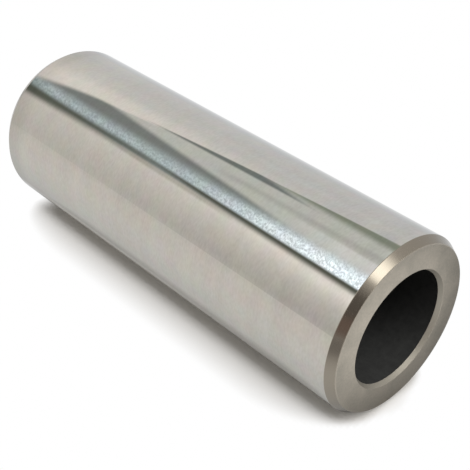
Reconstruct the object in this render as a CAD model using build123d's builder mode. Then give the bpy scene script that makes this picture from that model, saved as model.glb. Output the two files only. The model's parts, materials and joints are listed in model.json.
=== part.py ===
from build123d import *
import os

# Gudgeon pin: the hollow steel pin that joins a piston to the small end of its connecting rod.
# It is turned from one bar, bored right through, case hardened and ground on the outside.
# Units are millimetres. The pin stands on one end: +Z runs along its axis, and the origin
# is the centre of the end face that it stands on.

# Outside: the ground journal that turns in the piston bosses and the small-end bush
pin_diameter = 21.0
pin_length = 58.0

# Through bore, which makes the pin light
bore_diameter = 13.5

# Lead-in chamfer on the outside of each end, turned at about 31 degrees to the axis
end_chamfer_length = 1.0
end_chamfer_depth = 0.6

# Smaller chamfer at each mouth of the bore
mouth_chamfer_length = 0.5
mouth_chamfer_depth = 0.3

# Radii left on the edges by tumbling: the outside edges, and the two of each bore mouth
outer_edge_radius = 0.15
mouth_edge_radius = 0.06

pin_radius = pin_diameter / 2
bore_radius = bore_diameter / 2
face_outer_radius = pin_radius - end_chamfer_depth
face_inner_radius = bore_radius + mouth_chamfer_depth

os.makedirs("parts", exist_ok=True)


def is_outside(edge):
    """True for a ring edge nearer to the ground outside than to the bore."""
    return edge.radius > (face_outer_radius + face_inner_radius) / 2


with BuildPart() as gudgeon_pin:
    # Half section of the wall, from the bore out to the journal, with both ends chamfered
    with BuildSketch(Plane.XZ) as wall_section:
        with BuildLine() as wall_outline:
            Polyline(
                (face_inner_radius, 0),
                (face_outer_radius, 0),
                (pin_radius, end_chamfer_length),
                (pin_radius, pin_length - end_chamfer_length),
                (face_outer_radius, pin_length),
                (face_inner_radius, pin_length),
                (bore_radius, pin_length - mouth_chamfer_length),
                (bore_radius, mouth_chamfer_length),
                close=True,
            )
        make_face()
    revolve(axis=Axis.Z)

    # Every turned corner has a small blend, seen as a bright line round the chamfers
    ring_edges = gudgeon_pin.edges().filter_by(GeomType.CIRCLE)
    fillet(ring_edges.filter_by(is_outside), radius=outer_edge_radius)
    mouth_edges = gudgeon_pin.edges().filter_by(GeomType.CIRCLE).filter_by(
        lambda edge: not is_outside(edge)
    )
    fillet(mouth_edges, radius=mouth_edge_radius)

gudgeon_pin.part.label = "gudgeon_pin"
export_step(gudgeon_pin.part, "parts/gudgeon_pin.step")

print("wall", round(pin_radius - bore_radius, 3), "mm")
print("solids", len(gudgeon_pin.part.solids()), "volume", round(gudgeon_pin.part.volume, 1), "mm3")
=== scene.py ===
"""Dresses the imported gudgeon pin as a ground, case-hardened steel pin lying in a photographer's light tent.

The row's frame stands the pin on one end, with +Z along its axis. The photograph shows it lying, so the
tent's floor is the plane that touches its side at +Y, and up, for the lamps and the camera, is -Y.
"""

import json
import logging
import math
from dataclasses import dataclass
from enum import IntEnum

import bpy
import numpy as np
from mathutils import Matrix, Vector


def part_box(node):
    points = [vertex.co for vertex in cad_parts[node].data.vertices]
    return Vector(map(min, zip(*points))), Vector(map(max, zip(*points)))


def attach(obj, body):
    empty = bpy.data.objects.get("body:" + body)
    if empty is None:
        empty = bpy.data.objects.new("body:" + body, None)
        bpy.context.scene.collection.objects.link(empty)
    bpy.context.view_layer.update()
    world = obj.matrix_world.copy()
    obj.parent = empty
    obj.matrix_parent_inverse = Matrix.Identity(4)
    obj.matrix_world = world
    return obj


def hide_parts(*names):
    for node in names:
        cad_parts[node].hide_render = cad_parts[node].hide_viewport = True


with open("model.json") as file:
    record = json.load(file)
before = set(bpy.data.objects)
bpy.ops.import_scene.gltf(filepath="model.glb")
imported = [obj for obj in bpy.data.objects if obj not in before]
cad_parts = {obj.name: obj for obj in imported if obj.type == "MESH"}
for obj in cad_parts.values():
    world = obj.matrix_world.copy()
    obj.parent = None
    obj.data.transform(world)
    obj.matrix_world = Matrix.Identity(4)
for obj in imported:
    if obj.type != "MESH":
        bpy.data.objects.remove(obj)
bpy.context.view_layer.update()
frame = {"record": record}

MM = 0.001
NODE = "gudgeon_pin"
# The export keeps a piece's own UV map if it has this name
UV_MAP = "OFBake"
# At this scale a noise texture's marks are about one unit wide, and so are the gaps between them
MARK_SCALE = 0.5

Pair = tuple[float, float]
Triple = tuple[float, float, float]

log = logging.getLogger("gudgeon_pin")


def linear(hex_colour: str) -> np.ndarray:
    """Turns an sRGB hex colour, such as "#BAB7AF", into linear red, green and blue from 0 to 1."""
    stored = np.array([int(hex_colour[i:i + 2], 16) for i in (1, 3, 5)]) / 255
    return np.where(stored <= 0.04045, stored / 12.92, ((stored + 0.055) / 1.055) ** 2.4)


def rgba(hex_colour: str) -> tuple[float, ...]:
    """Gives a hex colour as the four numbers that a colour socket takes."""
    return (*linear(hex_colour).tolist(), 1.0)


def smooth(value: np.ndarray) -> np.ndarray:
    """Eases from 0 to 1 with level ends: three times the held value's square, less twice its cube."""
    held = np.clip(value, 0.0, 1.0)
    return held * held * (3 - 2 * held)


def ramp(value: np.ndarray, start: float, end: float) -> np.ndarray:
    """Eases from 0 at the start to 1 at the end, which may be the lower of the two."""
    return smooth((value - start) / (end - start))


def add_node(tree: bpy.types.NodeTree, kind: str, inputs: dict | None = None,
             **settings: object) -> bpy.types.Node:
    """Adds one node to a shader, with its settings, input values and links.

    Args:
        tree: the material's or the world's node tree.
        kind: the node's type, such as "ShaderNodeBump".
        inputs: a value, or another node's output to link, for each input by its name or number.
        settings: the node's own properties.

    Returns:
        The new node.
    """
    node = tree.nodes.new(kind)
    for name, value in settings.items():
        setattr(node, name, value)
    for key, value in (inputs or {}).items():
        if isinstance(value, bpy.types.NodeSocket):
            tree.links.new(value, node.inputs[key])
        else:
            node.inputs[key].default_value = value
    return node


def mottling(tree: bpy.types.NodeTree, across: float, along: float,
             **looks: float) -> bpy.types.bpy_prop_collection:
    """Adds a mottling that keeps its place on the object, with one size across Z and another along it.

    Args:
        tree: the material's node tree.
        across: how wide its marks are along X and Y, in metres.
        along: how wide they are along Z, in metres.
        looks: the noise texture's other inputs, such as Detail.

    Returns:
        The noise texture's outputs.
    """
    marks = add_node(tree, "ShaderNodeMapping", {
        "Vector": add_node(tree, "ShaderNodeTexCoord").outputs["Object"],
        "Scale": (1 / across, 1 / across, 1 / along),
    })
    return add_node(tree, "ShaderNodeTexNoise", {
        "Vector": marks.outputs["Vector"], "Scale": MARK_SCALE, **looks,
    }).outputs


def bare_metal(tree: bpy.types.NodeTree, inputs: dict) -> None:
    """Ends a material as bare metal, with these inputs to its shader."""
    metal = add_node(tree, "ShaderNodeBsdfPrincipled", {"Metallic": 1.0, **inputs})
    add_node(tree, "ShaderNodeOutputMaterial", {"Surface": metal.outputs["BSDF"]})


def looking(tree: bpy.types.NodeTree, ray: bpy.types.bpy_prop_collection) -> bpy.types.NodeSocket:
    """Tells the rays that look at a thing from those that only fetch its light.

    Args:
        tree: the material's or the world's node tree.
        ray: the outputs of its Light Path node.

    Returns:
        1 for a ray from the camera, from a reflection or through a clear body, and 0 for any other.
    """
    seen = add_node(tree, "ShaderNodeMath", {
        0: ray["Is Camera Ray"], 1: ray["Is Glossy Ray"],
    }, operation="MAXIMUM")
    seen = add_node(tree, "ShaderNodeMath", {
        0: seen.outputs[0], 1: ray["Is Transmission Ray"],
    }, operation="MAXIMUM")
    return seen.outputs[0]


def new_material(name: str) -> tuple[bpy.types.Material, bpy.types.NodeTree]:
    """Makes an empty node material.

    Args:
        name: the material's name.

    Returns:
        The material and its node tree.
    """
    material = bpy.data.materials.new(name)
    material.use_nodes = True
    material.node_tree.nodes.clear()
    return material, material.node_tree


def grid_mesh(name: str, points: np.ndarray, wrap_rows: bool, wrap_columns: bool) -> bpy.types.Mesh:
    """Turns a grid of points into a mesh of quads, with no loop over the points.

    Each quad runs from its corner one column on, then one row on, then back, so its face looks along the
    cross product of the column direction and the row direction.

    Args:
        name: the mesh's name.
        points: places in metres, rows by columns by three.
        wrap_rows: whether the last row is joined to the first.
        wrap_columns: whether the last column is joined to the first.

    Returns:
        The mesh, with its quads in row order.
    """
    rows, columns = points.shape[:2]
    number = np.arange(rows * columns).reshape(rows, columns)
    if wrap_rows:
        number = np.vstack([number, number[:1]])
    if wrap_columns:
        number = np.hstack([number, number[:, :1]])
    quads = np.stack([number[:-1, :-1], number[:-1, 1:], number[1:, 1:], number[1:, :-1]], axis=-1)
    quads = quads.reshape(-1, 4)
    mesh = bpy.data.meshes.new(name)
    mesh.vertices.add(rows * columns)
    mesh.vertices.foreach_set("co", points.astype(np.float32).ravel())
    mesh.loops.add(quads.size)
    mesh.loops.foreach_set("vertex_index", quads.astype(np.int32).ravel())
    mesh.polygons.add(len(quads))
    mesh.polygons.foreach_set("loop_start", np.arange(0, quads.size, 4, dtype=np.int32))
    mesh.update(calc_edges=True)
    mesh.validate()
    return mesh


def place(name: str, data: bpy.types.ID, pose: Matrix | None = None) -> bpy.types.Object:
    """Puts a mesh, a lamp or a camera into the scene.

    Args:
        name: the object's name.
        data: what the object is.
        pose: where it stands and how it is turned, or None for the origin, unturned and unscaled.

    Returns:
        The object.
    """
    made = bpy.data.objects.new(name, data)
    bpy.context.scene.collection.objects.link(made)
    if pose is not None:
        made.matrix_world = pose
    return made


def aimed(at: Vector, back: Vector, right: Vector) -> Matrix:
    """Poses a lamp or a camera, which face along their own -Z, by the ways behind it and to its right."""
    turn = Matrix((right, back.cross(right), back)).transposed()
    return Matrix.Translation(at) @ turn.to_4x4()


class Surface(IntEnum):
    """The pin's surfaces by finish, the edges' with a painted highlight, in the order of the piece's material
    slots.
    """

    GROUND_JOURNAL = 0
    TURNED_CHAMFER = 1
    FACED_END = 2
    MOUTH_CHAMFER = 3
    SCALED_BORE = 4
    # Each end face's two edges, their steel painted brighter as a painted highlight
    EDGE_HIGHLIGHT = 5


@dataclass(frozen=True)
class GroundJournal:
    """The outside: hardened bearing steel, centreless ground and then fine polished.

    It is close to a mirror, so the tent's lamp and dark gaps show as bands along the pin. The grit left
    short marks that run round it, too shallow after the polish to show as lines, so they only tint it.
    """

    steel: str = "#C9C6BE"
    steel_dull: str = "#AEABA3"
    roughness: float = 0.016
    # More blur along the axis than round it, because the marks run round
    anisotropy: float = 0.15
    # A grit mark is a few microns wide. It is drawn this coarse to show in the render.
    mark_width: float = 0.11 * MM
    mark_length: float = 0.24 * MM
    # Faint bands where the wheel cut more or less freely
    band_width: float = 0.9 * MM
    band_length: float = 9.0 * MM
    # How much of the tint is the marks', with the rest the bands'
    mark_share: float = 0.45
    # Oil dries to a film that turns it faintly pink here and green there
    film: float = 0.9 * MM
    film_share: float = 0.06
    # Painted shade: the colour darkens over the last millimetres at the lower end, between these two heights
    end_shade_reach: Pair = (1.6 * MM, 5.0 * MM)
    end_shade_colour: str = "#F1F1F1"

    def material(self) -> bpy.types.Material:
        """Makes the material.

        Mottling stretched round the pin gives the marks and the bands, and a broader one the film. A painted
        shade darkens the colour near the lower end.

        Returns:
            The material.
        """
        material, tree = new_material("ground_bearing_steel")
        marks = mottling(tree, self.mark_length, self.mark_width, Detail=0.0)["Fac"]
        bands = mottling(tree, self.band_length, self.band_width, Detail=4.0, Roughness=0.6)["Fac"]
        both = add_node(tree, "ShaderNodeMix", {
            "Factor": self.mark_share, "A": bands, "B": marks,
        }, data_type="FLOAT")
        banded = add_node(tree, "ShaderNodeMix", {
            "Factor": both.outputs["Result"], "A": rgba(self.steel_dull), "B": rgba(self.steel),
        }, data_type="RGBA")
        films = mottling(tree, self.film, self.film, Detail=1.0)["Color"]
        tint = add_node(tree, "ShaderNodeMix", {
            "Factor": self.film_share, "A": banded.outputs["Result"], "B": films,
        }, data_type="RGBA", blend_type="OVERLAY")
        place_on_pin = add_node(tree, "ShaderNodeTexCoord").outputs["Object"]
        # Painted shade: darker towards the lower end
        end_shade = add_node(tree, "ShaderNodeMapRange", {
            "Value": add_node(tree, "ShaderNodeSeparateXYZ", {"Vector": place_on_pin}).outputs["Z"],
            "From Min": self.end_shade_reach[0],
            "From Max": self.end_shade_reach[1],
            "To Min": 1.0,
            "To Max": 0.0,
        }, interpolation_type="SMOOTHSTEP")
        end_shaded = add_node(tree, "ShaderNodeMix", {
            "Factor": end_shade.outputs["Result"], "A": tint.outputs["Result"], "B": rgba(self.end_shade_colour),
        }, data_type="RGBA", blend_type="MULTIPLY")
        round_pin = add_node(tree, "ShaderNodeTangent", direction_type="RADIAL", axis="Z")
        bare_metal(tree, {
            "Base Color": end_shaded.outputs["Result"],
            "Roughness": self.roughness,
            "Anisotropic": self.anisotropy,
            # A quarter turn, so that the wider blur lies along the axis
            "Anisotropic Rotation": 0.25,
            "Tangent": round_pin.outputs["Tangent"],
        })
        return material


@dataclass(frozen=True)
class TurnedChamfer:
    """The chamfers: the same steel, turned, hardened and lightly tumbled, so satin with faint rings."""

    name: str = "turned_bearing_steel"
    steel: str = "#968F83"
    roughness: float = 0.2
    # The tool's rings, far longer than they are wide
    ring_pitch: float = 0.12 * MM
    ring_length: float = 25 * MM
    ring_depth: float = 0.001 * MM

    def material(self) -> bpy.types.Material:
        """Makes the material: mottling stretched far round the axis gives the tool's rings.

        Returns:
            The material.
        """
        material, tree = new_material(self.name)
        rings = mottling(tree, self.ring_length, self.ring_pitch, Detail=2.0)["Fac"]
        tilted = add_node(tree, "ShaderNodeBump", {
            "Height": rings, "Distance": self.ring_depth, "Strength": 1.0,
        })
        bare_metal(tree, {
            "Base Color": rgba(self.steel),
            "Roughness": self.roughness,
            "Normal": tilted.outputs["Normal"],
        })
        return material


@dataclass(frozen=True)
class CountersunkMouth(TurnedChamfer):
    """The bore's mouths: countersunk and tumbled, duller than the outside, so that they glow evenly."""

    name: str = "countersunk_bearing_steel"
    steel: str = "#B6B1A5"
    roughness: float = 0.54


@dataclass(frozen=True)
class EdgeHighlight(TurnedChamfer):
    """The two edges of each end face: satin steel painted brighter than the chamfers', a painted highlight
    that shows as a fine light line.
    """

    name: str = "edge_highlight_steel"
    # Painted highlight: lighter than the chamfer's steel, so the edge shows a light line under any light
    steel: str = "#B0A99C"
    roughness: float = 0.38


@dataclass(frozen=True)
class FacedEnd:
    """The two end faces: faced on the lathe and blasted, so an even satin grey with no line in it."""

    steel: str = "#D7CCBC"
    steel_dull: str = "#8B897E"
    roughness: float = 0.36
    grain: float = 0.13 * MM
    grain_depth: float = 0.003 * MM
    # How much of the tint is the grain's, with the rest the clouds'
    grain_share: float = 0.45
    # Tumbling left clouds on it. Painted shade darkens the face from the bore out to its outer edge, between
    # two distances from the axis
    cloud: float = 1.4 * MM
    rim_shade_reach: Pair = (7.0 * MM, 9.6 * MM)
    rim_shade_colour: str = "#EBEBEB"

    def material(self) -> bpy.types.Material:
        """Makes the material: fine grain and broader clouds tint it, and the grain tilts it.

        Its colour darkens between two distances from the axis, towards the outer edge: a painted shade.

        Returns:
            The material.
        """
        material, tree = new_material("faced_bearing_steel")
        grain = mottling(tree, self.grain, self.grain, Detail=2.0)["Fac"]
        clouds = mottling(tree, self.cloud, self.cloud, Detail=3.0, Distortion=0.6)["Fac"]
        both = add_node(tree, "ShaderNodeMix", {
            "Factor": self.grain_share, "A": clouds, "B": grain,
        }, data_type="FLOAT")
        clouded = add_node(tree, "ShaderNodeMix", {
            "Factor": both.outputs["Result"], "A": rgba(self.steel_dull), "B": rgba(self.steel),
        }, data_type="RGBA")
        flat = add_node(tree, "ShaderNodeVectorMath", {
            0: add_node(tree, "ShaderNodeTexCoord").outputs["Object"], 1: (1.0, 1.0, 0.0),
        }, operation="MULTIPLY")
        from_axis = add_node(tree, "ShaderNodeVectorMath", {0: flat.outputs["Vector"]}, operation="LENGTH")
        # Painted shade towards the outer edge
        out = add_node(tree, "ShaderNodeMapRange", {
            "Value": from_axis.outputs["Value"], "From Min": self.rim_shade_reach[0], "From Max": self.rim_shade_reach[1],
        })
        tint = add_node(tree, "ShaderNodeMix", {
            "Factor": out.outputs["Result"], "A": clouded.outputs["Result"], "B": rgba(self.rim_shade_colour),
        }, data_type="RGBA", blend_type="MULTIPLY")
        tilted = add_node(tree, "ShaderNodeBump", {
            "Height": grain, "Distance": self.grain_depth, "Strength": 1.0,
        })
        bare_metal(tree, {
            "Base Color": tint.outputs["Result"],
            "Roughness": self.roughness,
            "Normal": tilted.outputs["Normal"],
        })
        return material


@dataclass(frozen=True)
class HeatTreatmentScale:
    """The bore: left as drilled, with the black scale of hardening, which takes up nearly all light."""

    scale: str = "#2E2E2E"
    scale_worn: str = "#4F4F4D"
    roughness: float = 0.75
    # Its pores trap the shine
    specular: float = 0.0
    patch: float = 0.45 * MM

    def material(self) -> bpy.types.Material:
        """Makes the material: a soft patchy black with no shine.

        Returns:
            The material.
        """
        material, tree = new_material("black_heat_treatment_scale")
        patches = mottling(tree, self.patch, self.patch, Detail=5.0, Roughness=0.7)["Fac"]
        black = add_node(tree, "ShaderNodeMix", {
            "Factor": patches, "A": rgba(self.scale), "B": rgba(self.scale_worn),
        }, data_type="RGBA")
        coat = add_node(tree, "ShaderNodeBsdfPrincipled", {
            "Base Color": black.outputs["Result"],
            "Roughness": self.roughness,
            "Specular IOR Level": self.specular,
        })
        add_node(tree, "ShaderNodeOutputMaterial", {"Surface": coat.outputs["BSDF"]})
        return material


Finish = GroundJournal | TurnedChamfer | FacedEnd | HeatTreatmentScale


@dataclass(frozen=True)
class Corner:
    """One corner of the pin's half section, and the straight that follows it."""

    radius: float
    height: float
    blend: float
    # The surfaces of the blend and of the straight
    rounded: Surface
    straight: Surface
    # How many spans the straight is cut into
    spans: int


@dataclass
class GudgeonPin:
    """The pin itself: one body of revolution about Z, made so fine that it mirrors the tent cleanly."""

    radius: float
    length: float
    bore_radius: float
    end_chamfer_length: float = 1.0 * MM
    end_chamfer_depth: float = 0.6 * MM
    mouth_chamfer_length: float = 0.5 * MM
    mouth_chamfer_depth: float = 0.3 * MM
    outer_edge_radius: float = 0.15 * MM
    mouth_edge_radius: float = 0.06 * MM
    segments: int = 640
    arc_spans: int = 6
    # How far the UV map stays inside its square
    uv_margin: float = 0.004
    # In the order of the surfaces that they cover
    finishes: tuple[Finish, ...] = (
        GroundJournal(), TurnedChamfer(), FacedEnd(), CountersunkMouth(), HeatTreatmentScale(),
        EdgeHighlight(),
    )

    def corners(self) -> list[Corner]:
        """Lists the half section's corners.

        Returns:
            The corners from the lower mouth out, up the outside and down the bore.
        """
        journal, chamfer, face = Surface.GROUND_JOURNAL, Surface.TURNED_CHAMFER, Surface.FACED_END
        # The edges take the finish with the painted highlight
        mouth, bore, edge = Surface.MOUTH_CHAMFER, Surface.SCALED_BORE, Surface.EDGE_HIGHLIGHT
        outer, inner = self.outer_edge_radius, self.mouth_edge_radius
        face_outer = self.radius - self.end_chamfer_depth
        face_inner = self.bore_radius + self.mouth_chamfer_depth
        return [
            Corner(face_inner, 0.0, inner, edge, face, 4),
            Corner(face_outer, 0.0, outer, edge, chamfer, 2),
            Corner(self.radius, self.end_chamfer_length, outer, chamfer, journal, 24),
            Corner(self.radius, self.length - self.end_chamfer_length, outer, chamfer, chamfer, 2),
            Corner(face_outer, self.length, outer, edge, face, 4),
            Corner(face_inner, self.length, inner, edge, mouth, 2),
            Corner(self.bore_radius, self.length - self.mouth_chamfer_length, inner, mouth, bore, 24),
            Corner(self.bore_radius, self.mouth_chamfer_length, inner, mouth, mouth, 2),
        ]

    def profile(self) -> tuple[np.ndarray, np.ndarray, np.ndarray]:
        """Works out the half section: straights joined by arcs that touch both.

        An arc of radius b at a corner where the outline turns by an angle starts b times the tangent of half
        the angle before the corner. Along it, the outward normal swings evenly from one straight's to the
        next one's.

        Returns:
            Points as radius and height, their outward normals, and the surface of the span after each point.
        """
        corners = self.corners()
        places = np.array([(corner.radius, corner.height) for corner in corners])
        blends = np.array([corner.blend for corner in corners])
        ahead = np.roll(places, -1, axis=0) - places
        ahead /= np.linalg.norm(ahead, axis=1, keepdims=True)
        behind = np.roll(ahead, 1, axis=0)
        # Outward is a quarter turn clockwise from the way the outline runs
        heading_in = np.arctan2(behind[:, 1], behind[:, 0]) - math.pi / 2
        turn = np.arctan2(
            behind[:, 0] * ahead[:, 1] - behind[:, 1] * ahead[:, 0], (behind * ahead).sum(axis=1)
        )
        reach = blends * np.tan(turn / 2)
        starts = places - behind * reach[:, None]
        ends = places + ahead * reach[:, None]
        following = np.roll(starts, -1, axis=0)
        points, normals, surfaces = [], [], []
        for i, corner in enumerate(corners):
            swing = heading_in[i] + turn[i] * np.linspace(0, 1, self.arc_spans + 1)[:-1]
            facing = np.stack([np.cos(swing), np.sin(swing)], axis=1)
            points.append(starts[i] + corner.blend * (facing - facing[0]))
            normals.append(facing)
            surfaces += [corner.rounded] * self.arc_spans
            along = np.linspace(0, 1, corner.spans + 1)[:-1, None]
            points.append(ends[i] * (1 - along) + following[i] * along)
            square = np.array([ahead[i][1], -ahead[i][0]])
            normals.append(np.tile(square, (corner.spans, 1)))
            surfaces += [corner.straight] * corner.spans
        return np.vstack(points), np.vstack(normals), np.array(surfaces)

    def mesh(self) -> bpy.types.Mesh:
        """Carries the half section round the axis.

        A point at radius r and height h becomes (r cos a, r sin a, h) for each angle a, and its normal turns
        with it, so shading follows the true arcs and cylinders and not the facets.

        Returns:
            The closed mesh, with a material number for each face, exact normals and the UV map.
        """
        points, normals, surfaces = self.profile()
        angle = np.arange(self.segments) * (2 * math.pi / self.segments)
        around = np.stack([np.cos(angle), np.sin(angle)], axis=1)

        def carried(section: np.ndarray) -> np.ndarray:
            """Turns pairs of radius and height into points round the axis.

            Args:
                section: the pairs, one to a row.

            Returns:
                The points, as rows by angles by three.
            """
            flat = section[:, None, :1] * around[None]
            height = np.broadcast_to(section[:, None, 1:], (*flat.shape[:2], 1))
            return np.concatenate([flat, height], axis=2)

        mesh = grid_mesh(NODE, carried(points), wrap_rows=True, wrap_columns=True)
        mesh.polygons.foreach_set("material_index", np.repeat(surfaces, self.segments).astype(np.int32))
        mesh.polygons.foreach_set("use_smooth", np.ones(len(mesh.polygons), dtype=bool))
        mesh.normals_split_custom_set_from_vertices(carried(normals).reshape(-1, 3).tolist())
        self.unwrap(mesh, points)
        return mesh

    def unwrap(self, mesh: bpy.types.Mesh, points: np.ndarray) -> None:
        """Lays the surface flat: across is the angle round the axis, and up is the way along the outline.

        Args:
            mesh: the pin's mesh, with its quads in row order.
            points: the outline's points as radius and height.
        """
        step = np.linalg.norm(np.roll(points, -1, axis=0) - points, axis=1)
        up = np.concatenate([[0], np.cumsum(step)]) / step.sum()
        across = np.arange(self.segments + 1) / self.segments
        u = np.stack([across[:-1], across[1:], across[1:], across[:-1]], axis=1)
        v = np.stack([up[:-1], up[:-1], up[1:], up[1:]], axis=1)
        uv = np.empty((len(points), self.segments, 4, 2), dtype=np.float32)
        uv[..., 0] = u[None]
        uv[..., 1] = v[:, None]
        uv = self.uv_margin + (1 - 2 * self.uv_margin) * uv
        mesh.uv_layers.new(name=UV_MAP)
        mesh.uv_layers[UV_MAP].uv.foreach_set("vector", uv.ravel())

    def dress(self, piece: bpy.types.Object) -> None:
        """Gives the piece its finishes, one to a slot."""
        for finish in self.finishes:
            piece.data.materials.append(finish.material())

    def build(self) -> bpy.types.Object:
        """Makes and dresses the piece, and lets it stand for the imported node.

        Returns:
            The piece.
        """
        piece = place("ground_pin", self.mesh())
        self.dress(piece)
        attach(piece, "root")
        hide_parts(NODE)
        return piece


@dataclass(frozen=True)
class Card:
    """A flat card, lamp or gap in the tent's roof, with straight soft edges.

    Its corners are slopes: how far along X and Z a ray from the pin goes for each unit that it climbs. They
    run anticlockwise seen with X to the right and Z up the page, and each comes with the softness of the
    edge that it starts.
    """

    name: str
    colour: str
    level: float
    corners: tuple[Triple, ...]
    # How much of the lamp's grain of small cells it has
    celled: float = 0.0

    def cover(self, across: np.ndarray, along: np.ndarray) -> np.ndarray:
        """Works out how much of the card is seen in each direction.

        The distance inside each edge is divided by the edge's softness and eased, so that half of the card
        shows at the edge itself. The shares of all the edges are multiplied.

        Args:
            across: each direction's slope along X.
            along: each direction's slope along Z.

        Returns:
            A share from 0 to 1 for each direction.
        """
        share = np.ones_like(across)
        for (a, b, softness), (next_a, next_b, _) in zip(self.corners, self.corners[1:] + self.corners[:1]):
            run = math.hypot(next_a - a, next_b - b)
            inside = ((next_a - a) * (along - b) - (next_b - b) * (across - a)) / run
            share *= smooth(inside / softness + 0.5)
        return share


@dataclass
class LightTent:
    """The tent that the steel mirrors: a half ball of soft light on the floor, seen only in reflections."""

    floor_y: float
    middle_z: float
    radius: float = 0.6
    # Degrees from point to point, so that even the narrowest soft edge has two or more
    step: float = 0.5
    # The lamp's cells, along and across the pin, how far they are from even, and the noise that makes them
    cell_length: float = 0.25 * MM
    cell_width: float = 12.5 * MM
    cell_contrast: float = 0.4
    cell_noise: Pair = (0.35, 0.65)
    # Brightness of the tent's wall by height above the floor in degrees, on each of its sides
    heights: tuple[float, ...] = (0, 6, 12, 18, 24, 30, 35, 40, 50, 90)
    far_wall: tuple[float, ...] = (0.87, 0.87, 0.89, 0.92, 0.96, 1.00, 1.06, 1.21, 1.22, 0.95)
    left_wall: tuple[float, ...] = (0.78, 0.73, 0.77, 0.83, 0.90, 1.03, 1.22, 1.42, 1.50, 0.95)
    right_wall: tuple[float, ...] = (0.87, 0.91, 0.93, 0.94, 0.95, 1.00, 0.97, 0.97, 0.97, 0.95)
    near_wall: tuple[float, ...] = (0.60, 0.62, 0.65, 0.68, 0.70, 0.72, 0.74, 0.76, 0.80, 0.95)
    # The bearings, in degrees from the middle of the far side, over which each other side takes over
    left_turn: Pair = (38.0, 62.0)
    right_turn: Pair = (10.0, 55.0)
    near_turn: Pair = (75.0, 115.0)
    wall_colour: str = "#FFFCFA"
    # The right wall gets some daylight, so it is cooler
    right_colour: str = "#F6F7FB"
    # Each lies over those before it
    cards: tuple[Card, ...] = (
        Card("ceiling", "#F1F5F4", 0.99, (
            (-0.95, -0.595, 0.03), (0.62, -1.426, 0.1), (0.62, 0.2, 0.4), (-1.3, 0.2, 0.2),
            (-1.1, -0.5156, 0.05),
        )),
        Card("bright_ceiling", "#F3F6FB", 1.26, (
            (-0.08, -0.56, 0.22), (0.4, -0.56, 0.1), (0.4, 0.1, 0.4), (-0.08, 0.1, 0.08),
        )),
        Card("green_card", "#B4BDB0", 0.86, (
            (-0.93, -0.606, 0.03), (-0.58, -0.79, 0.26), (-0.58, -0.2, 0.3), (-1.2, -0.2, 0.2),
        )),
        Card("dark_corner", "#A6AFB0", 0.76, (
            (-0.61, -0.792, 0.03), (-0.30, -0.956, 0.08), (-0.46, -0.655, 0.08),
        )),
        Card("fold", "#DEE1E1", 1.0, (
            (-0.17, -0.75, 0.06), (-0.066, -0.75, 0.15), (-0.163, -0.4, 0.05), (-0.306, -0.4, 0.12),
        )),
        Card("dark_gap", "#A9B0B2", 0.86, (
            (-0.15, -1.035, 0.06), (0.5, -1.376, 0.1), (0.5, -0.635, 0.12), (0.153, -0.635, 0.11),
        )),
        Card("lamp", "#DEF0FA", 1.01, (
            (0.24, -1.228, 0.05), (0.62, -1.42, 0.1), (0.66, -0.45, 0.1), (0.66, -0.2, 0.2),
            (0.24, -0.2, 0.3),
        ), celled=0.5),
        Card("lamp_foot", "#DEF0FA", 0.9, (
            (0.24, -1.9, 0.1), (0.62, -1.9, 0.1), (0.62, -1.13, 0.25), (0.24, -1.13, 0.3),
        ), celled=0.5),
        Card("lamp_bright", "#E4F0FF", 2.2, (
            (0.28, -0.66, 0.46), (0.64, -0.75, 0.1), (0.64, -0.3, 0.2), (0.22, -0.3, 0.24),
        ), celled=0.9),
        Card("frame_foot", "#80867F", 0.86, (
            (0.27, -1.9, 0.2), (0.7, -1.9, 0.2), (0.7, -1.4, 0.2), (0.27, -1.31, 0.08),
        )),
        Card("frame_haze", "#F1EEE8", 0.91, (
            (0.7, -1.2, 0.14), (0.8, -1.2, 0.14), (0.81, -0.89, 0.14), (0.7, -0.89, 0.14),
        )),
        Card("frame_upper", "#868A80", 0.66, (
            (0.507, -1.02, 0.3), (0.66, -1.02, 0.22), (0.785, -0.45, 0.2), (0.595, -0.45, 0.1),
        )),
        Card("frame_lower", "#80867E", 0.82, (
            (0.46, -1.5, 0.2), (0.5, -1.94, 0.2), (0.92, -1.94, 0.26), (0.632, -0.98, 0.2),
            (0.51, -0.98, 0.22),
        )),
        Card("overhead_lamp", "#FFFEFB", 4.1, (
            (-0.29, 0.4, 0.1), (0.19, 0.4, 0.1), (0.19, 0.75, 0.1), (-0.29, 0.75, 0.5),
        )),
        Card("camera_side", "#7E7975", 0.95, (
            (0.42, 0.5, 0.3), (2.4, 1.1, 0.5), (2.4, 3.2, 0.8), (0.75, 2.0, 0.4),
        )),
        Card("low_camera_side", "#99867F", 1.0, (
            (1.9, 0.9, 0.6), (14.0, 6.0, 1.5), (14.0, 14.0, 1.5), (1.9, 2.6, 0.4),
        )),
    )

    def light(self, direction: np.ndarray) -> np.ndarray:
        """Works out the light from each direction: the wall's by height and side, then each card over it.

        Args:
            direction: unit directions from the middle of the pin's floor, one row each.

        Returns:
            Red, green and blue, with the floor's white as 1, and how much of the celled lamp is seen.
        """
        height = np.degrees(np.arcsin(np.clip(-direction[:, 1], 0, 1)))
        bearing = np.degrees(np.arctan2(direction[:, 0], -direction[:, 2]))
        near = ramp(np.abs(bearing), *self.near_turn)
        left = ramp(bearing, *self.left_turn) * (1 - near)
        right = ramp(-bearing, *self.right_turn) * (1 - near)
        sides = (
            (1 - near - left - right, self.far_wall, self.wall_colour),
            (left, self.left_wall, self.wall_colour),
            (right, self.right_wall, self.right_colour),
            (near, self.near_wall, self.wall_colour),
        )
        colours = sum(
            (share * np.interp(height, self.heights, levels))[:, None] * linear(colour)
            for share, levels, colour in sides
        )
        celled = np.zeros((len(direction), 1))
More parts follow.
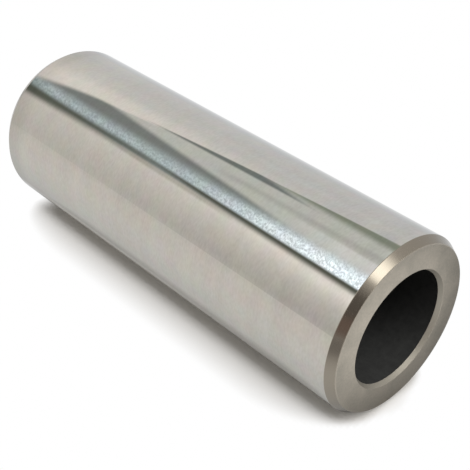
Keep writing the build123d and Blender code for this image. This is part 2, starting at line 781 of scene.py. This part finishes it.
        # Level with the floor, a direction's slopes have no end
        climb = np.maximum(-direction[:, 1], 1e-3)
        for card in self.cards:
            share = card.cover(direction[:, 0] / climb, direction[:, 2] / climb)[:, None]
            colours = colours * (1 - share) + share * card.level * linear(card.colour)
            celled = celled * (1 - share) + share * card.celled
        return np.hstack([colours, celled])

    def mesh(self) -> bpy.types.Mesh:
        """Makes the half ball, with its light stored at its points.

        At height h and bearing b a point is at the radius times (cos h sin b, -sin h, cos h cos b).

        Returns:
            The mesh, open at the floor.
        """
        height = np.radians(np.arange(0, 90 + self.step / 2, self.step))[:, None]
        bearing = np.radians(np.arange(0, 360, self.step))[None]
        direction = np.stack([
            np.cos(height) * np.sin(bearing),
            -np.sin(height) * np.ones_like(bearing),
            np.cos(height) * np.cos(bearing),
        ], axis=-1)
        middle = np.array([0.0, self.floor_y, self.middle_z])
        mesh = grid_mesh("light_tent", middle + self.radius * direction, wrap_rows=False, wrap_columns=True)
        stored = mesh.attributes.new("tent_light", "FLOAT_COLOR", "POINT")
        stored.data.foreach_set("color", self.light(direction.reshape(-1, 3)).astype(np.float32).ravel())
        return mesh

    def material(self) -> bpy.types.Material:
        """Makes the material, which gives out the stored light.

        The lamp's face is made of small cells, some brighter than others, and they are the sparkle in its
        band. The round pin squeezes what it mirrors more across than along, so the cells are long that way.

        Returns:
            The material.
        """
        material, tree = new_material("tent_light")
        light = add_node(tree, "ShaderNodeAttribute", attribute_name="tent_light")
        cell_light = add_node(tree, "ShaderNodeMapRange", {
            "Value": mottling(tree, self.cell_width, self.cell_length, Detail=0.0)["Fac"],
            "From Min": self.cell_noise[0],
            "From Max": self.cell_noise[1],
            "To Min": 1 - self.cell_contrast,
            "To Max": 1 + self.cell_contrast,
        })
        strength = add_node(tree, "ShaderNodeMix", {
            "Factor": light.outputs["Alpha"], "A": 1.0, "B": cell_light.outputs["Result"],
        }, data_type="FLOAT")
        glow = add_node(tree, "ShaderNodeEmission", {
            "Color": light.outputs["Color"], "Strength": strength.outputs["Result"],
        })
        add_node(tree, "ShaderNodeOutputMaterial", {"Surface": glow.outputs["Emission"]})
        material.cycles.emission_sampling = "NONE"
        return material

    def build(self) -> bpy.types.Object:
        """Makes the tent, for glossy rays alone.

        Returns:
            The tent.
        """
        tent = place("light_tent", self.mesh())
        tent.data.materials.append(self.material())
        tent.visible_camera = tent.visible_diffuse = tent.visible_transmission = tent.visible_shadow = False
        return tent


@dataclass(frozen=True)
class ContactShadow:
    """Where the floor is in the pin's shadow: a core under the pin, and a skirt that opens out from it."""

    pin_length: float
    # Each side of the pin the shadow is whole out to the first of these, and gone from the second
    core_width: float = 6.1 * MM
    skirt_width: float = 11.6 * MM
    least_skirt: float = 1 * MM
    # Both draw in like ovals towards the near end, and the skirt towards the far end as well: how far
    # inside that end, and over what length
    core_oval: Pair = (3.0 * MM, 3.3 * MM)
    skirt_oval: Pair = (13.2 * MM, 14.8 * MM)
    far_oval: Pair = (11.5 * MM, 17.5 * MM)
    # Along the pin it starts to fade this far inside each end, and is gone after this length
    near_fade: Pair = (0.15 * MM, 1.9 * MM)
    far_fade: Pair = (3.6 * MM, 4.6 * MM)
    # How it opens between, and how much light reaches even its core
    opening: float = 1.38
    leak: float = 0.01

    @staticmethod
    def drawn_in(inside: np.ndarray, length: float) -> np.ndarray:
        """Gives an oval's width, from 1 to 0: the square root of 1 less the square of the way along."""
        return np.sqrt(np.clip(1 - np.maximum(inside / length, 0) ** 2, 0, 1))

    def open_share(self, x: np.ndarray, z: np.ndarray) -> np.ndarray:
        """Works out where the floor is out of the pin's shadow.

        Across the pin, the measure is the distance past the shadow's core over the width of its skirt. Along
        the pin it is the distance into the fade over the fade's length, as its square root at the near end
        and its square at the far end. The two are sides of a right triangle, and the share is the long side
        to a power.

        Args:
            x: places along X.
            z: places along Z.

        Returns:
            A share from 0, in the shadow, to 1.
        """
        past = z - self.pin_length
        core = self.core_width * self.drawn_in(past + self.core_oval[0], self.core_oval[1])
        edge = self.skirt_width * self.drawn_in(past + self.skirt_oval[0], self.skirt_oval[1])
        edge = edge * self.drawn_in(self.far_oval[0] - z, self.far_oval[1])
        across = np.maximum(np.abs(x) - core, 0) / np.maximum(edge - core, self.least_skirt)
        near = np.sqrt(np.maximum(past + self.near_fade[0], 0) / self.near_fade[1])
        far = (np.maximum(self.far_fade[0] - z, 0) / self.far_fade[1]) ** 2
        return np.clip(self.leak + (1 - self.leak) * np.hypot(across, near + far) ** self.opening, 0, 1)


@dataclass(frozen=True)
class MirroredFloor:
    """The floor's light as the steel mirrors it, uneven near the pin, which hides part of the tent from it.

    A pair of distances or angles says where a change starts and where it is whole. X is plus to the left.
    """

    pin_length: float
    # Beside the pin, and far to its left and right, with plain white as 1
    near_level: float = 0.97
    left_level: float = 0.93
    left_reach: Pair = (60 * MM, 200 * MM)
    right_level: float = 0.84
    right_reach: Pair = (-35 * MM, 90 * MM)
    # It is warmer to the left and cooler to the right
    left_colour: str = "#FFFBF9"
    left_tinted: Pair = (10 * MM, 50 * MM)
    right_colour: str = "#F7FAFF"
    right_tinted: Pair = (10 * MM, 70 * MM)
    # Beside the pin it loses this share, most at this distance from the axis and less over this distance
    hidden_share: float = 0.36
    hidden_most_at: float = 9 * MM
    hidden_reach: float = 5.8 * MM
    # Under the far half of the pin it keeps nearly all of that: between these places along Z, and in from
    # where it loses most
    kept_share: float = 0.95
    kept_from_near: Pair = (43 * MM, 21 * MM)
    kept_from_far: Pair = (-1 * MM, 4 * MM)
    kept_in: Pair = (0.6 * MM, -2 * MM)
    # Just past the far end it loses more, round a spot: its place along Z and out from where it loses most
    # elsewhere, and its reach both ways
    far_share: float = 0.52
    far_spot: Pair = (-0.8 * MM, -4.5 * MM)
    far_reach: Pair = (2.3 * MM, 3.2 * MM)
    # In front of the near end: its levels close by and further out, over which distance, and how much
    # sooner that comes for each unit to the left
    end_levels: Pair = (0.4, 1.13)
    end_reach: Pair = (3 * MM, 9.5 * MM)
    end_slant: float = 0.2
    # That part of the floor is a little darker to the right
    end_right_share: float = 0.22
    end_right_reach: Pair = (14 * MM, 26 * MM)
    # It comes in past the near end, and along X from the right and from the left
    end_from_near: Pair = (-3.5 * MM, -1.5 * MM)
    end_from_right: Pair = (-60 * MM, -30 * MM)
    end_from_left: Pair = (10.5 * MM, 6 * MM)
    # Towards the camera it dims: the bearing from Z towards X and the angles off it, in degrees, how far
    # past the near end, and by what share
    camera_bearing: float = 60.0
    camera_spread: Pair = (52.5, 17.5)
    camera_reach: Pair = (15 * MM, 60 * MM)
    camera_share: float = 0.6

    def tint(self, x: np.ndarray) -> np.ndarray:
        """Works out the colour: white beside the pin, easing to each side's colour.

        Args:
            x: places along X.

        Returns:
            Red, green and blue for each place.
        """
        colours = np.ones((*x.shape, 3))
        for out, colour, tinted in (
            (x, self.left_colour, self.left_tinted), (-x, self.right_colour, self.right_tinted),
        ):
            share = ramp(out, *tinted)[..., None]
            colours = colours * (1 - share) + linear(colour) * share
        return colours

    def beside(self, x: np.ndarray, z: np.ndarray) -> np.ndarray:
        """Works out the share of the light that is left beside the pin.

        What it loses falls each way by the natural exponential of the distance from where it is most, and
        just past the far end by that of the square.

        Args:
            x: places along X.
            z: places along Z.

        Returns:
            A share from 0 to 1 for each place.
        """
        out = np.abs(x) - self.hidden_most_at
        kept = self.kept_share * ramp(z, *self.kept_from_near) * ramp(z, *self.kept_from_far)
        kept = kept * ramp(out, *self.kept_in)
        share = 1 - self.hidden_share * (1 - kept) * np.exp(-np.abs(out) / self.hidden_reach)
        past_far = np.exp(
            -((z - self.far_spot[0]) / self.far_reach[0]) ** 2
            - ((out - self.far_spot[1]) / self.far_reach[1]) ** 2
        )
        return share * (1 - self.far_share * past_far)

    def before(self, x: np.ndarray, past: np.ndarray) -> np.ndarray:
        """Works out the level in front of the near end, which eases up with the distance past that end.

        Args:
            x: places along X.
            past: distance past the near end, along Z.

        Returns:
            A level for each place.
        """
        low, high = self.end_levels
        level = low + (high - low) * ramp(past + self.end_slant * x, *self.end_reach)
        return level * (1 - self.end_right_share * ramp(-x, *self.end_right_reach))

    def light(self, x: np.ndarray, z: np.ndarray) -> np.ndarray:
        """Works out the light at each place.

        The open floor eases from the level beside the pin to the levels far to each side. The share that is
        left beside the pin gives way to the level before it in front of the near end, and the whole dims
        towards the camera.

        Args:
            x: places along X.
            z: places along Z.

        Returns:
            Red, green and blue for each place, with plain white as 1.
        """
        past = z - self.pin_length
        level = self.near_level
        level = level + (self.left_level - self.near_level) * ramp(x, *self.left_reach)
        level = level + (self.right_level - self.near_level) * ramp(-x, *self.right_reach)
        in_front = ramp(past, *self.end_from_near) * ramp(x, *self.end_from_right)
        in_front = in_front * ramp(x, *self.end_from_left)
        beside = self.beside(x, z)
        level = level * (beside + in_front * (self.before(x, past) - beside))
        off_camera = np.abs(np.degrees(np.arctan2(x, past)) - self.camera_bearing)
        dimmed = ramp(off_camera, *self.camera_spread) * ramp(np.hypot(x, past), *self.camera_reach)
        return (level * (1 - self.camera_share * dimmed))[..., None] * self.tint(x)


@dataclass
class Tabletop:
    """The white floor that the pin lies on. It takes the pin's shadow, and elsewhere it is plain white."""

    floor_y: float
    pin_length: float
    half_width: float = 0.6
    # Where its grid stops being fine, and how many lines it has each way within that and beyond
    fine_width: float = 40 * MM
    fine_lines: int = 80
    coarse_lines: int = 40
    # In the shadow the paper's colour is painted warm: painted light from the warm steel that stands over it
    paper: str = "#FFFCF7"
    # How much of its light the floor gives back to the matt bore
    bounce: float = 0.2

    def mesh(self) -> bpy.types.Mesh:
        """Makes the floor as a grid that is fine round the pin, with its two measures stored at its points.

        Grid lines are spaced evenly near the pin and by a growing ratio further out.

        Returns:
            The mesh.
        """
        fine = np.linspace(0, self.fine_width, self.fine_lines, endpoint=False)
        coarse = np.geomspace(self.fine_width, self.half_width, self.coarse_lines)
        half = np.concatenate([fine, coarse])
        x = np.concatenate([-half[:0:-1], half])
        x_grid, z_grid = np.meshgrid(x, self.pin_length / 2 + x)
        points = np.stack([x_grid, np.full_like(x_grid, self.floor_y), z_grid], axis=-1)
        mesh = grid_mesh("tabletop", points, wrap_rows=False, wrap_columns=False)
        shares = mesh.attributes.new("open_floor", "FLOAT", "POINT")
        open_share = ContactShadow(self.pin_length).open_share(x_grid, z_grid)
        shares.data.foreach_set("value", open_share.astype(np.float32).ravel())
        lights = mesh.attributes.new("mirrored_light", "FLOAT_COLOR", "POINT")
        colours = np.ones((*x_grid.shape, 4), dtype=np.float32)
        colours[..., :3] = MirroredFloor(self.pin_length).light(x_grid, z_grid)
        lights.data.foreach_set("color", colours.ravel())
        return mesh

    def material(self) -> bpy.types.Material:
        """Makes the material: matt white in the shadow, and plain white where a looking ray sees the rest.

        A mirror sees the stored light there. From behind, the floor is clear, so it hides the pin from no
        side.

        Returns:
            The material.
        """
        material, tree = new_material("matt_white_paper")
        ray = add_node(tree, "ShaderNodeLightPath").outputs
        open_floor = add_node(tree, "ShaderNodeAttribute", attribute_name="open_floor")
        mirrored = add_node(tree, "ShaderNodeAttribute", attribute_name="mirrored_light")
        share = add_node(tree, "ShaderNodeMath", {
            0: looking(tree, ray), 1: open_floor.outputs["Fac"],
        }, operation="MULTIPLY")
        level = add_node(tree, "ShaderNodeMix", {
            "Factor": ray["Is Glossy Ray"], "A": rgba("#FFFFFF"), "B": mirrored.outputs["Color"],
        }, data_type="RGBA").outputs["Result"]
        given_back = add_node(tree, "ShaderNodeMix", {
            "Factor": ray["Is Diffuse Ray"], "A": level, "B": (*[self.bounce] * 3, 1.0),
        }, data_type="RGBA")
        warmed = add_node(tree, "ShaderNodeMix", {
            "Factor": 1.0, "A": given_back.outputs["Result"], "B": rgba(self.paper),
        }, data_type="RGBA", blend_type="MULTIPLY")
        paper = add_node(tree, "ShaderNodeBsdfDiffuse", {"Color": warmed.outputs["Result"]})
        white = add_node(tree, "ShaderNodeEmission", {"Color": level, "Strength": 1.0})
        front = add_node(tree, "ShaderNodeMixShader", {
            0: share.outputs[0], 1: paper.outputs["BSDF"], 2: white.outputs["Emission"],
        })
        clear = add_node(tree, "ShaderNodeBsdfTransparent")
        back = add_node(tree, "ShaderNodeNewGeometry").outputs["Backfacing"]
        whole = add_node(tree, "ShaderNodeMixShader", {
            0: back, 1: front.outputs["Shader"], 2: clear.outputs["BSDF"],
        })
        add_node(tree, "ShaderNodeOutputMaterial", {"Surface": whole.outputs["Shader"]})
        material.cycles.emission_sampling = "NONE"
        return material

    def build(self) -> bpy.types.Object:
        """Makes the floor.

        Returns:
            The floor.
        """
        floor = place("tabletop", self.mesh())
        floor.data.materials.append(self.material())
        return floor


@dataclass(frozen=True)
class Lamp:
    """A rectangular lamp over the pin, aimed at the floor under it and not mirrored by the steel."""

    name: str
    # The direction from the pin to the lamp
    way: Triple
    # How many degrees wide it looks from the pin, and its length the other way in metres
    spread: float
    length: float
    # Its light on the open floor, with a plain level as 1
    light: float

    def hang(self, under: Vector, distance: float) -> bpy.types.Object:
        """Hangs the lamp.

        A small lamp of power P at a distance d, seen square on, makes a white floor as bright as P over the
        square of pi times d. The power is that of such a lamp, over the cosine of its lean.

        Args:
            under: the place on the floor that it is aimed at.
            distance: how far from there it hangs, in metres.

        Returns:
            The lamp.
        """
        away = Vector(self.way).normalized()
        data = bpy.data.lights.new(self.name, "AREA")
        data.shape = "RECTANGLE"
        data.size = 2 * distance * math.tan(math.radians(self.spread / 2))
        data.size_y = self.length
        data.energy = self.light * (math.pi * distance) ** 2 / -away.y
        across = away.cross(Vector((0.0, 0.0, 1.0))).normalized()
        made = place(self.name, data, aimed(under + distance * away, away, across))
        made.visible_glossy = False
        return made


@dataclass
class Studio:
    """What lights the floor and the matt bore: three lamps, and light from all round."""

    floor_y: float
    middle_z: float
    distance: float = 0.45
    ambient: float = 0.22
    lamps: tuple[Lamp, ...] = (
        Lamp("strip_lamp", (0.36, -0.93, 0.0), spread=12.0, length=0.7, light=0.36),
        Lamp("soft_box", (0.0, -1.0, 0.0), spread=30.0, length=0.5, light=0.26),
        Lamp("front_lamp", (-0.28, -0.67, 0.69), spread=30.0, length=0.25, light=0.3),
    )

    def world(self) -> bpy.types.World:
        """Makes the world: plain white to a looking ray, and an even light on everything.

        Returns:
            The world.
        """
        world = bpy.data.worlds.new("white_room")
        world.use_nodes = True
        tree = world.node_tree
        tree.nodes.clear()
        ray = add_node(tree, "ShaderNodeLightPath").outputs
        strength = add_node(tree, "ShaderNodeMix", {
            "Factor": looking(tree, ray), "A": self.ambient, "B": 1.0,
        }, data_type="FLOAT")
        sky = add_node(tree, "ShaderNodeBackground", {
            "Color": rgba("#FFFFFF"), "Strength": strength.outputs["Result"],
        })
        add_node(tree, "ShaderNodeOutputWorld", {"Surface": sky.outputs["Background"]})
        return world

    def build(self) -> None:
        """Hangs the lamps and sets the world."""
        for lamp in self.lamps:
            lamp.hang(Vector((0.0, self.floor_y, self.middle_z)), self.distance)
        bpy.context.scene.world = self.world()


@dataclass(frozen=True)
class PhotoCamera:
    """The photograph's camera, found by fitting the pin's outline to the picture's."""

    at: Triple = (63.75 * MM, -68.22 * MM, 101.20 * MM)
    aim: Triple = (0.70 * MM, 0.64 * MM, 33.76 * MM)
    # The lens and the sensor's width, in millimetres
    lens: float = 75.06
    sensor: float = 36.0

    def build(self) -> bpy.types.Object:
        """Sets the camera up level with the tent's floor, which faces -Y.

        Returns:
            The camera.
        """
        data = bpy.data.cameras.new("photo_camera")
        data.lens = self.lens
        data.sensor_width = self.sensor
        data.clip_start = 5 * MM
        back = (Vector(self.at) - Vector(self.aim)).normalized()
        right = Vector((0.0, -1.0, 0.0)).cross(back).normalized()
        camera = place("photo_camera", data, aimed(Vector(self.at), back, right))
        bpy.context.scene.camera = camera
        return camera


def main() -> None:
    """Builds the pin, then the tent, the floor, the lamps and the camera."""
    logging.basicConfig(level=logging.INFO, format="%(message)s")
    low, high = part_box(NODE)
    mounts = {mount["name"]: mount for mount in frame["record"]["mounts"]}
    pin = GudgeonPin(
        radius=mounts["journal"]["dims"]["r_mm"] * MM,
        length=high.z - low.z,
        bore_radius=mounts["bore"]["dims"]["r_mm"] * MM,
    )
    piece = pin.build()
    log.info("%s: %d faces, %.1f mm long, %.1f mm across", piece.name, len(piece.data.polygons),
             pin.length / MM, 2 * pin.radius / MM)
    middle_z = pin.length / 2
    tent = LightTent(floor_y=pin.radius, middle_z=middle_z).build()
    log.info("%s: %d points", tent.name, len(tent.data.vertices))
    floor = Tabletop(floor_y=pin.radius, pin_length=pin.length).build()
    log.info("%s: %d points", floor.name, len(floor.data.vertices))
    Studio(floor_y=pin.radius, middle_z=middle_z).build()
    camera = PhotoCamera().build()
    log.info("%s: lens %.1f mm", camera.name, camera.data.lens)
    bpy.context.scene.view_settings.view_transform = "Standard"
    bpy.context.view_layer.update()


if __name__ == "__main__":
    main()
